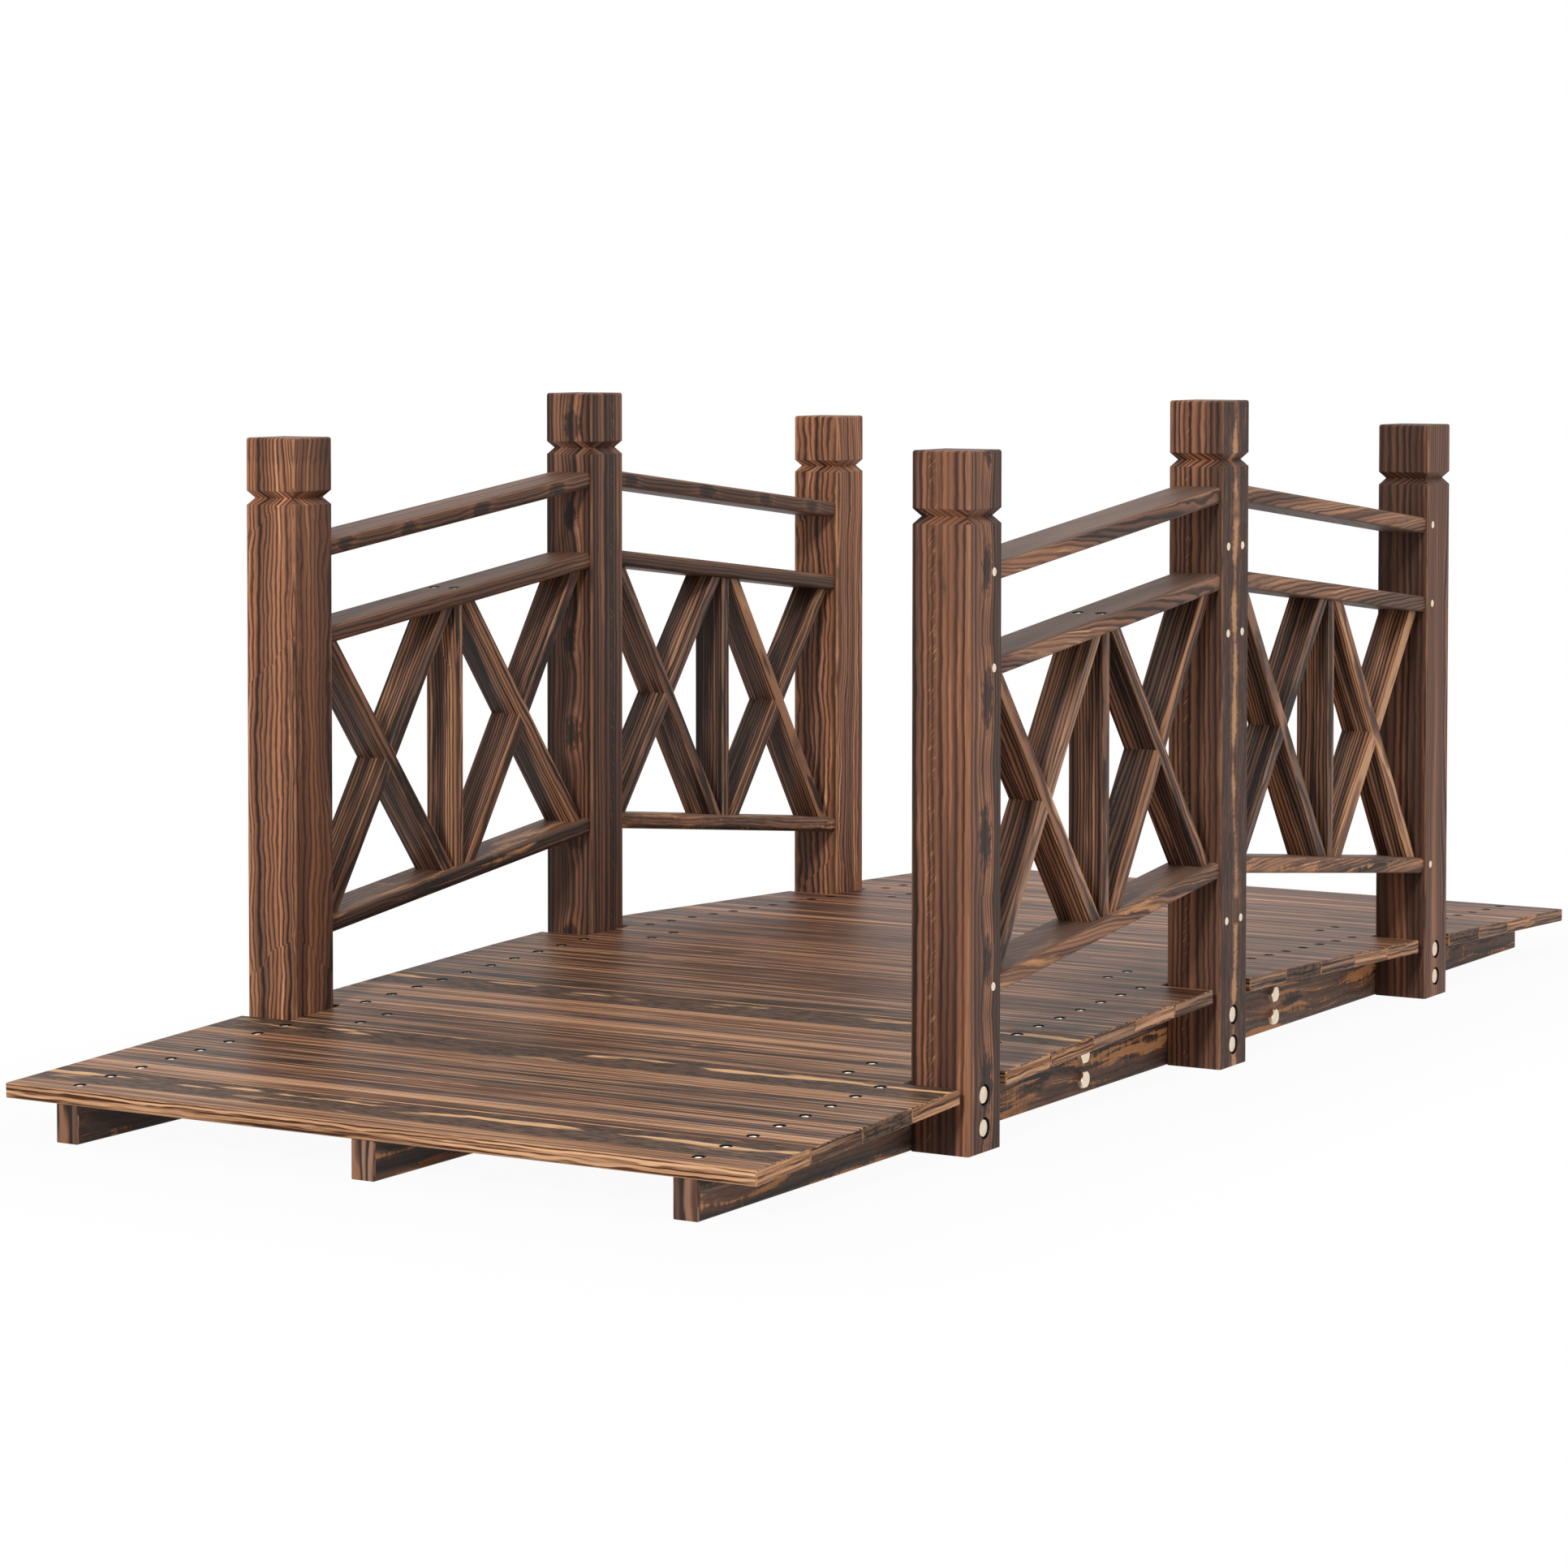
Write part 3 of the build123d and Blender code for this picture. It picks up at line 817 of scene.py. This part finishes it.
woods.update({
    "finePost": woodMaterial("post oiled fir, wavy grain", {
        **lineGrain, "ringPitch": 3.3, "ripple": 1.5, "ringDepth": 0.54, "archFace": 1,
        # archPale of -0.06 paints shade on the sides that face along y, the post's inner and outer sides
        "archDepth": 4.0, "archPale": -0.06, "capPale": -0.06,
    }, postPlace),
    "brightPost": woodMaterial("post oiled fir, bold grain", {
        **lineGrain, "ringPitch": 3.9, "level": 0.46, "archFace": 1, "seed": 12.4, "edgeDepth": 0.8,
        "archSoft": 0.1, "archPale": 0.08, "streakDepth": 0.5, "faultDepth": 1.2,
    }, postPlace),
    "dullPost": woodMaterial("post oiled fir, arched outer sides", {
        **straightGrain, "level": 0.325, "archFace": 1, "archPale": 0.17, "seed": 15.1,
        "ringDepth": 0.44, "archSoft": 0.1, "greyDepth": 0.03,
    }, postPlace),
    "knotFrontPost": woodMaterial("post oiled fir, knots on the end-facing sides", {
        **straightGrain, "level": 0.36, "knotFace": 0, "knotLane": -2.0, "greyDepth": 0.22,
        "scrapeFace": 1, "ringDepth": 0.42, "knotTall": 14.0, "knotDepth": 0.21, "swirl": 3.0,
    }, postPlace),
    "knotSidePost": woodMaterial("post oiled fir, knots on the outer sides", {
        **straightGrain, "knotFace": 1, "knotLane": 2.0, "scrapeFace": 0, "level": 0.295,
        "ringDepth": 0.42,
    }, postPlace),
    "flamePost": woodMaterial("post oiled fir, charred outer sides", {
        **straightGrain, "flameFace": 1, "scrapeFace": 0,
    }, postPlace),
    "rail": woodMaterial("rail oiled fir", railGrain, railPlace),
    "calmRail": woodMaterial("rail oiled fir, calm sides", calmRail, railPlace),
    "knottyRail": woodMaterial("rail oiled fir, knotty sides", {
        **calmRail, "knotFace": 1, "knotPitch": 105.0, "knotTall": 13.0, "swirl": 1.5,
        "knotDepth": 0.20,
    }, railPlace),
    "charredRail": woodMaterial("rail oiled fir, charred", {
        **railGrain, "charDepth": 0.20, "charFrom": 0.45, "charWidth": 14.0, "charLength": 180.0,
        "ringDepth": 0.42, "flamesFrom": 0.54, "flameLength": 90.0, "flameWidth": 7.0,
        "blaze": (204, 148, 100), "level": 0.40, "comb": 0.2,
    }, railPlace),
    "lattice": woodMaterial("lattice oiled fir", {
        "ringPitch": 2.8, "ringDepth": 0.72, "ringEven": 0.5, "zoneWidth": 8.0, "zoneDepth": 0.45,
        "ringAngle": 0.3, "knotShare": 0.08, "edgeDepth": 0.55, "level": 0.38, "boardSpread": 0.17,
        "greyDepth": 0.3,
    }, latticePlace),
    "stringer": woodMaterial("stringer oiled fir", {
        "ringPitch": 5.0, "ringAngle": 1.2, "ringSpread": 0.4, "drift": 9.0, "driftLength": 150.0,
        "level": 0.42, "charDepth": 0.20, "charFrom": 0.37, "charWidth": 24.0, "charLength": 300.0,
        "knotFace": 1, "knotPitch": 170.0, "knotTall": 24.0, "streakDepth": 0.4, "flamesFrom": 0.55,
        "flameWidth": 8.5, "blaze": (212, 148, 98), "ringDepth": 0.3, "comb": 0.20,
    }, stringerPlace),
    "brace": woodMaterial("brace oiled fir", {"level": 0.42, "knotShare": 0.1}, bracePlace),
})
woodOf = {"rail": "rail", "lattice": "lattice", "brace": "brace", "stringer": "stringer",
          "splice": "stringer", "post": "finePost"}
woodOf.update({
    "post_left_middle": "knotFrontPost",
    "post_right_near": "knotSidePost",
    "post_right_middle": "flamePost",
    "post_left_far": "brightPost",
    "post_right_far": "dullPost",
    "rail_top_left": "knottyRail",
    "rail_second_left": "calmRail",
    "rail_bottom_left": "charredRail",
    "rail_bottom_right": "charredRail",
})
kindOf = {kind[0]: kind for kind in deckBoards}
woodOf.update({"plank_%02d" % (n + 1): kindOf[letter] for n, letter in enumerate(boardKinds)})
for nodeName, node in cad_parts.items():
    wood = woodOf.get(nodeName) or woodOf[nodeName.split("_")[0]]
    node.data.materials.clear()
    node.data.materials.append(woods[wood])
print("woods made:", len(woods))


def steelMaterial(name, colour, rough, shadedRim=None):
    # rim is a painted shade colour, used where the piece's shine attribute is 0
    s = Shader(bpy.data.materials.new(name))
    x, y, z = s.place()
    cloud = s.noise(x / 3.0, y / 3.0, z / 3.0, 3.0, 0.6)
    shade = s.mix(s.smooth(cloud, 0.35, 0.65), srgb(*(c * 0.94 for c in colour)), srgb(*colour))
    metallic = 1.0
    if shadedRim is not None:
        metallic = s.node("ShaderNodeAttribute", {"attribute_name": "shine"}, None, "Fac")
        shade = s.mix(metallic, srgb(*shadedRim), shade)
    scratch = s.noise(x / 0.5, y / 6.0, z / 0.5, 2.0, 0.5)
    bump = s.node("ShaderNodeBump", None, {"Strength": 0.08, "Distance": 0.0002, "Height": scratch})
    roughness = (cloud - 0.5) * 0.2 + rough
    return s.finish({"Base Color": shade, "Metallic": metallic, "Roughness": roughness}, bump)


paleZinc = steelMaterial("pale zinc heads", (240, 221, 198), 0.4)
# the screw heads get a painted shade on their rim, dark and not metal, round a bright metal middle
screwZinc = steelMaterial("screw zinc", (245, 232, 210), 0.3, (30, 23, 19))


def spunMesh(name, profile, count, material, sites, outline=None, shine=None):
    # a profile of (radius, height) turned in count steps round its axis, set at every site as a
    # 4x4 place. outline(angles, radii, heights) may change the radii and heights. The last ring
    # closes on the axis. shine has a value for each ring, which the material reads.
    angles = np.arange(count) * 2 * math.pi / count
    radii, heights = np.array(profile, float).T
    ringRadii = np.repeat(radii[:, None], count, axis=1)
    ringHeights = np.repeat(heights[:, None], count, axis=1)
    if outline is not None:
        ringRadii, ringHeights = outline(angles[None, :], ringRadii, ringHeights)
    rings = np.stack([ringRadii * np.cos(angles), ringRadii * np.sin(angles), ringHeights], axis=-1)
    points = np.vstack([rings.reshape(-1, 3), [[0, 0, heights[-1]]]])
    level, step = np.meshgrid(np.arange(len(profile) - 1), np.arange(count), indexing="ij")
    after = (step + 1) % count
    lower, upper = level * count, (level + 1) * count
    quads = np.stack([lower + step, lower + after, upper + after, upper + step], axis=-1).reshape(-1, 4)
    last = (len(profile) - 1) * count + np.arange(count)
    fan = np.stack([last, np.roll(last, -1), np.full(count, len(points) - 1)], axis=-1)
    places = np.array(sites, float)
    homogeneous = np.hstack([points, np.ones((len(points), 1))])
    everyPoint = np.einsum("sij,pj->spi", places, homogeneous)[..., :3].reshape(-1, 3) / 1000.0
    shifts = (np.arange(len(places)) * len(points))[:, None, None]
    faces = (quads[None] + shifts).reshape(-1, 4).tolist() + (fan[None] + shifts).reshape(-1, 3).tolist()
    mesh = bpy.data.meshes.new(name)
    mesh.from_pydata(everyPoint.tolist(), [], faces)
    mesh.update()
    mesh.materials.append(material)
    if shine is not None:
        values = np.tile(np.append(np.repeat(shine, count), shine[-1]), len(places))
        mesh.attributes.new("shine", "FLOAT", "POINT").data.foreach_set("value", values)
    piece = bpy.data.objects.new(name, mesh)
    bpy.context.scene.collection.objects.link(piece)
    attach(piece, "root")
    return piece


def facing(x, y, z, way, turn=0.0):
    # a site whose axis points along way, turned round it by turn
    direction = np.array(way, float) / np.linalg.norm(way)
    helper = np.array([1.0, 0.0, 0.0]) if abs(direction[0]) < 0.9 else np.array([0.0, 0.0, 1.0])
    first = helper - direction * (helper @ direction)
    first /= np.linalg.norm(first)
    second = np.cross(direction, first)
    site = np.eye(4)
    site[:3, 0] = first * math.cos(turn) + second * math.sin(turn)
    site[:3, 1] = second * math.cos(turn) - first * math.sin(turn)
    site[:3, 2], site[:3, 3] = direction, (x, y, z)
    return site


boltLook = {
    "acrossFlats": 13.0,
    "head": 5.3,
    "chamfer": 0.8,
    "recess": 6.5,
    "lift": 0.05,            # above the recess's floor
}
stringerBoltLook = {"x": 181.0, "heights": (12.0, 31.5), "sink": 0.5, "turn": 0.52}
pinLook = {"diameter": 7.1, "recess": 0.9, "sink": 0.15, "edge": 0.35, "edgeTall": 0.3, "crown": 0.1}
screwLook = {
    "diameter": 8.2,
    "recess": 1.6,
    "thickness": 0.7,
    "crown": 0.15,
    "innerRadii": (3.0, 2.6, 1.2),  # painted shade darkens the head outside the second one
    "slotWidth": 1.3,
    "slotLength": 2.6,
    "slotDepth": 0.6,
}


def hexagon(angles, radii, heights):
    # distance to a hexagon's side at each angle, no further out than the profile's own radius
    sixth = math.pi / 3
    flat = boltLook["acrossFlats"] / 2 / np.cos((angles + sixth / 2) % sixth - sixth / 2)
    return np.minimum(radii, flat), heights


hexHalf = boltLook["acrossFlats"] / 2
hexCorner = hexHalf / math.cos(math.pi / 6)
boltProfile = [(hexCorner, 0.0), (hexCorner, boltLook["head"] - boltLook["chamfer"]),
               (hexHalf * 0.96, boltLook["head"]), (hexHalf * 0.5, boltLook["head"])]
outerFace = bridge["postY"] + bridge["postHalfY"]
boltSeat = outerFace - boltLook["recess"] + boltLook["lift"]
postPlaces = (-bridge["postX"], 0.0, bridge["postX"])
boltSites = [facing(x, side * boltSeat, z, (0, side, 0), 0.3 + x * 0.01 + z)  # each at its own angle
             for side in (-1, 1) for x in postPlaces for z in bridge["boltHeights"]]
spunMesh("post_bolts", boltProfile, 48, paleZinc, boltSites, hexagon)
stringerSeat = bridge["stringerFace"] - stringerBoltLook["sink"]
stringerBoltX, stringerBoltTurn = stringerBoltLook["x"], stringerBoltLook["turn"]
stringerSites = [facing(end * stringerBoltX, side * stringerSeat, z, (0, side, 0), stringerBoltTurn)
                 for side in (-1, 1) for end in (-1, 1) for z in stringerBoltLook["heights"]]
spunMesh("stringer_bolts", boltProfile, 48, paleZinc, stringerSites, hexagon)

pinHalf = pinLook["diameter"] / 2
pinTop = pinLook["recess"] - pinLook["sink"]
pinProfile = [(pinHalf, 0.0), (pinHalf, pinTop - pinLook["edgeTall"]), (pinHalf - pinLook["edge"], pinTop),
              (pinHalf * 0.5, pinTop + pinLook["crown"])]
pinSeat = outerFace - pinLook["recess"]
pinSites = [facing(x + end * bridge["pinOffset"], side * pinSeat, z, (0, side, 0))
            for side in (-1, 1) for x in postPlaces for end in (-1, 1) if x * end <= 0
            for z in bridge["railLevels"]]
spunMesh("rail_pins", pinProfile, 24, paleZinc, pinSites)


def crossSlot(angles, radii, heights):
    # a cross-shaped dent: deep where a point is near either arm of the cross
    x, y = radii * np.cos(angles), radii * np.sin(angles)
    arm = np.minimum(np.abs(x), np.abs(y))
    inside = (arm < screwLook["slotWidth"] / 2) & (radii < screwLook["slotLength"])
    return radii, heights - inside * screwLook["slotDepth"]


def seatHeight(x):
    # the two slopes meet a crown that seats the middle three boards
    reach, pitch = abs(x), bridge["plankPitch"]
    if reach >= 1.5 * pitch:
        return bridge["seatAtEnd"] + bridge["seatGrade"] * (halfLength - reach)
    slopeTop = bridge["seatAtEnd"] + bridge["seatGrade"] * (halfLength - 1.5 * pitch)
    share = max(0.0, (reach - 0.5 * pitch) / pitch)
    return bridge["seatAtCrown"] + share * (slopeTop - bridge["seatAtCrown"])


def deckScrewSites(rng):
    # four to a board, square to its slope, each turned at random
    sites = []
    pitch = bridge["plankPitch"]
    for number in range(1, bridge["planks"] + 1):
        x = (number - 0.5) * pitch - halfLength
        before, after = seatHeight(x - pitch / 2), seatHeight(x + pitch / 2)
        tilt = math.atan((after - before) / pitch)
        up = np.array([-math.sin(tilt), 0.0, math.cos(tilt)])
        alongX = np.array([math.cos(tilt), 0.0, math.sin(tilt)])
        isShort = number in bridge["shortPlanks"]
        reach = bridge["shortHalfWidth" if isShort else "deckHalfWidth"] - bridge["screwMargin"]
        for side in (-1, 1):
            for row in (-1, 1):
                site = np.array([x, side * reach, (after + before) / 2])
                site = site + alongX * row * bridge["screwRows"]
                site = site + up * (bridge["plankThickness"] - screwLook["recess"])
                sites.append(facing(*site, up, rng.uniform(0, math.pi)))
    return sites


def railScrewSites(rng):
    # two to a picket, square to the second rail's slope
    sites = []
    middle = bridge["railLevels"][1] + bridge["railRise"] / 2
    for side in (-1, 1):
        for end in (-1, 1):
            up = np.array([end * math.sin(railLean), 0.0, math.cos(railLean)])
            for row in (-bridge["railScrews"], bridge["railScrews"]):
                site = np.array([end * bayMiddle, side * bridge["postY"] + row, middle])
                site = site + up * (bridge["railHalfThick"] - screwLook["recess"])
                sites.append(facing(*site, up, rng.uniform(0, math.pi)))
    return sites


screwHalf, screwTop = screwLook["diameter"] / 2, screwLook["thickness"] + screwLook["crown"]
darkRadius, brightRadius, flatRadius = screwLook["innerRadii"]
screwProfile = [(screwHalf, 0.0), (screwHalf - 0.1, screwLook["thickness"]), (darkRadius, screwTop),
                (brightRadius, screwTop), (flatRadius, screwTop - 0.05)]
screwShine = [0.0, 0.0, 0.0, 1.0, 1.0]
rng = np.random.default_rng(5)
deckSites = deckScrewSites(rng)
spunMesh("deck_screws", screwProfile, 24, screwZinc, deckSites, crossSlot, screwShine)
railSites = railScrewSites(rng)
spunMesh("rail_screws", screwProfile, 24, screwZinc, railSites, crossSlot, screwShine)
print("fasteners made:", sum(map(len, (boltSites, stringerSites, pinSites, deckSites, railSites))))


# Studio: pale floor, soft lamps, white surroundings
studio = {
    "floorReach": 12.0,
    "floorColour": (214, 214, 214),
    "floorShadow": 0.05,      # how much of the floor's own light and shadow the camera sees
    "shadowReach": 0.30,      # metres from the bridge at which that has faded out
    "skyStrength": 0.42,
    "keyPower": 240.0, "keyPlace": (-6.0, -1.2, 3.0), "keySize": 0.7,
    "fillPower": 18.0, "fillPlace": (0.2, -3.0, 1.2), "fillSize": 2.0,
    "topPower": 16.0, "topPlace": (0.0, 0.2, 2.6), "topSize": 2.4,
    "lampTarget": (0.0, 0.0, 0.2),
}
white = (1.0, 1.0, 1.0, 1.0)


def makeSky():
    # soft light on the bridge, plain white for the camera and in reflections
    world = bpy.data.worlds.new("studio")
    bpy.context.scene.world = world
    s = Shader(world)
    softSky = s.node("ShaderNodeBackground", None, {"Color": white, "Strength": studio["skyStrength"]})
    whiteSky = s.node("ShaderNodeBackground", None, {"Color": white, "Strength": 1.0})
    sky = s.node("ShaderNodeMixShader", None, {0: s.lightPath(), 1: softSky, 2: whiteSky})
    s.node("ShaderNodeOutputWorld", None, {"Surface": sky})


def addLamp(name):
    lamp = bpy.data.lights.new(name, "AREA")
    lamp.energy, lamp.size = studio[name + "Power"], studio[name + "Size"]
    holder = bpy.data.objects.new(name, lamp)
    bpy.context.scene.collection.objects.link(holder)
    back = np.array(studio[name + "Place"]) - np.array(studio["lampTarget"])
    holder.matrix_world = Matrix(facing(*studio[name + "Place"], back).tolist())


def makeFloor():
    # white to the camera but for a faint shadow near the bridge
    mesh = bpy.data.meshes.new("floor")
    reach = studio["floorReach"]
    mesh.from_pydata([(-reach, -reach, 0), (reach, -reach, 0), (reach, reach, 0), (-reach, reach, 0)],
                     [], [(0, 1, 2, 3)])
    made = bpy.data.objects.new("floor", mesh)
    bpy.context.scene.collection.objects.link(made)
    s = Shader(bpy.data.materials.new("pale floor"))
    x, y = s.place()[:2]
    pastEnd = s.math("MAXIMUM", abs(x) - halfLength, 0.0)
    pastSide = s.math("MAXIMUM", abs(y) - bridge["deckHalfWidth"], 0.0)
    away = s.reach(pastEnd, pastSide)
    shadowed = s.smooth(away, studio["shadowReach"] * 1000.0, 20.0) * studio["floorShadow"]
    paint = s.node("ShaderNodeBsdfDiffuse", None, {"Color": srgb(*studio["floorColour"])})
    glow = s.node("ShaderNodeEmission", None, {"Color": white, "Strength": 1.0})
    mixed = s.node("ShaderNodeMixShader", None, {0: s.lightPath() * (1.0 - shadowed), 1: paint, 2: glow})
    s.node("ShaderNodeOutputMaterial", None, {"Surface": mixed})
    mesh.materials.append(s.owner)
    return made


makeSky()
for lampName in ("key", "fill", "top"):
    addLamp(lampName)
floor = makeFloor()

# Camera: read off the photograph's own perspective, by the bridge's corners. Places are in metres
# and angles in radians. axisRow is the pixel row that the camera's axis meets.
cameraLook = {
    "focalPixels": 5418.5,
    "frame": 1932,
    "axisRow": 627.4,
    "sensor": 36.0,
    "place": (-3.27145, -1.84332, 0.61777),
    "yaw": 0.53585,
    "pitch": 0.0448,
    "roll": 0.00058,
}


def addCamera():
    lens = bpy.data.cameras.new("camera")
    lens.sensor_width = cameraLook["sensor"]
    lens.lens = cameraLook["focalPixels"] / cameraLook["frame"] * cameraLook["sensor"]
    lens.shift_y = (cameraLook["axisRow"] - cameraLook["frame"] / 2) / cameraLook["frame"]
    lens.clip_start, lens.clip_end = 0.05, 100.0
    made = bpy.data.objects.new("camera", lens)
    bpy.context.scene.collection.objects.link(made)
    yaw, pitch, roll = (cameraLook[angle] for angle in ("yaw", "pitch", "roll"))
    ahead = np.array([math.cos(yaw) * math.cos(pitch), math.sin(yaw) * math.cos(pitch), -math.sin(pitch)])
    level = np.array([math.sin(yaw), -math.cos(yaw), 0.0])
    above = np.cross(level, ahead)
    pose = np.eye(4)
    pose[:3, 0] = level * math.cos(roll) + above * math.sin(roll)
    pose[:3, 1] = above * math.cos(roll) - level * math.sin(roll)
    pose[:3, 2], pose[:3, 3] = -ahead, cameraLook["place"]
    made.matrix_world = Matrix(pose.tolist())
    return made


bpy.context.scene.camera = addCamera()
bpy.context.scene.view_settings.view_transform = "Standard"
print("studio and camera set")
